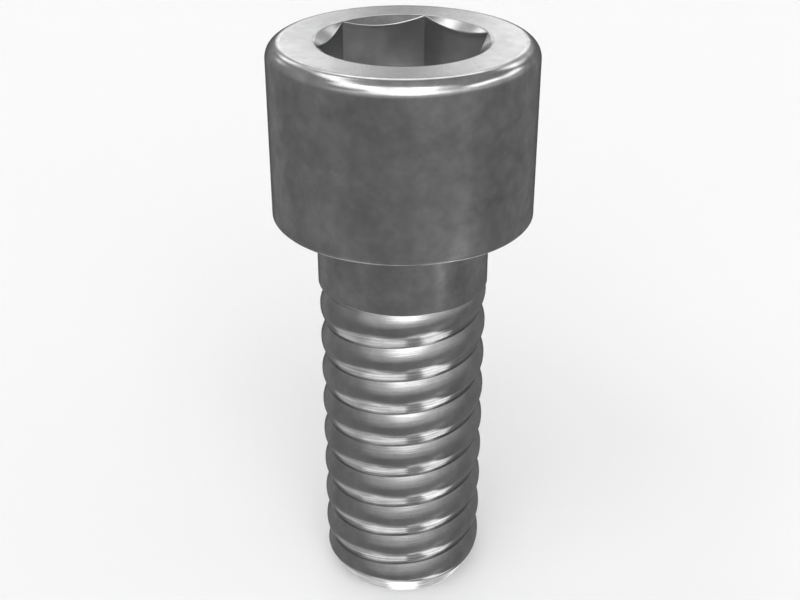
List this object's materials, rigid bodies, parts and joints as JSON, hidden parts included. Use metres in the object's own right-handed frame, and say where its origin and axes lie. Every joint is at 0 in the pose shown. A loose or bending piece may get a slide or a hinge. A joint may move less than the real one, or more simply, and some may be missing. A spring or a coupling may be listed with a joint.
{
  "type": "socket head bolt",
  "caption": "Cylindrical-head steel bolt with a hexagon socket, a short plain shank, a coarse rounded thread and a chamfered flat end.",
  "frame": {"origin": "centre of the bearing face under the head, on the bolt's axis", "axes": "+Z along the bolt's axis, from its flat end towards the head; two corners of the hexagon socket lie on the X axis"},
  "size_m": [0.018, 0.018, 0.042],
  "materials": {
    "bolt_steel": "turned and rolled bare steel, satin, slightly clouded"
  },
  "bodies": {
    "root": {"socket_head_bolt": "bolt_steel"}
  },
  "joints": []
}
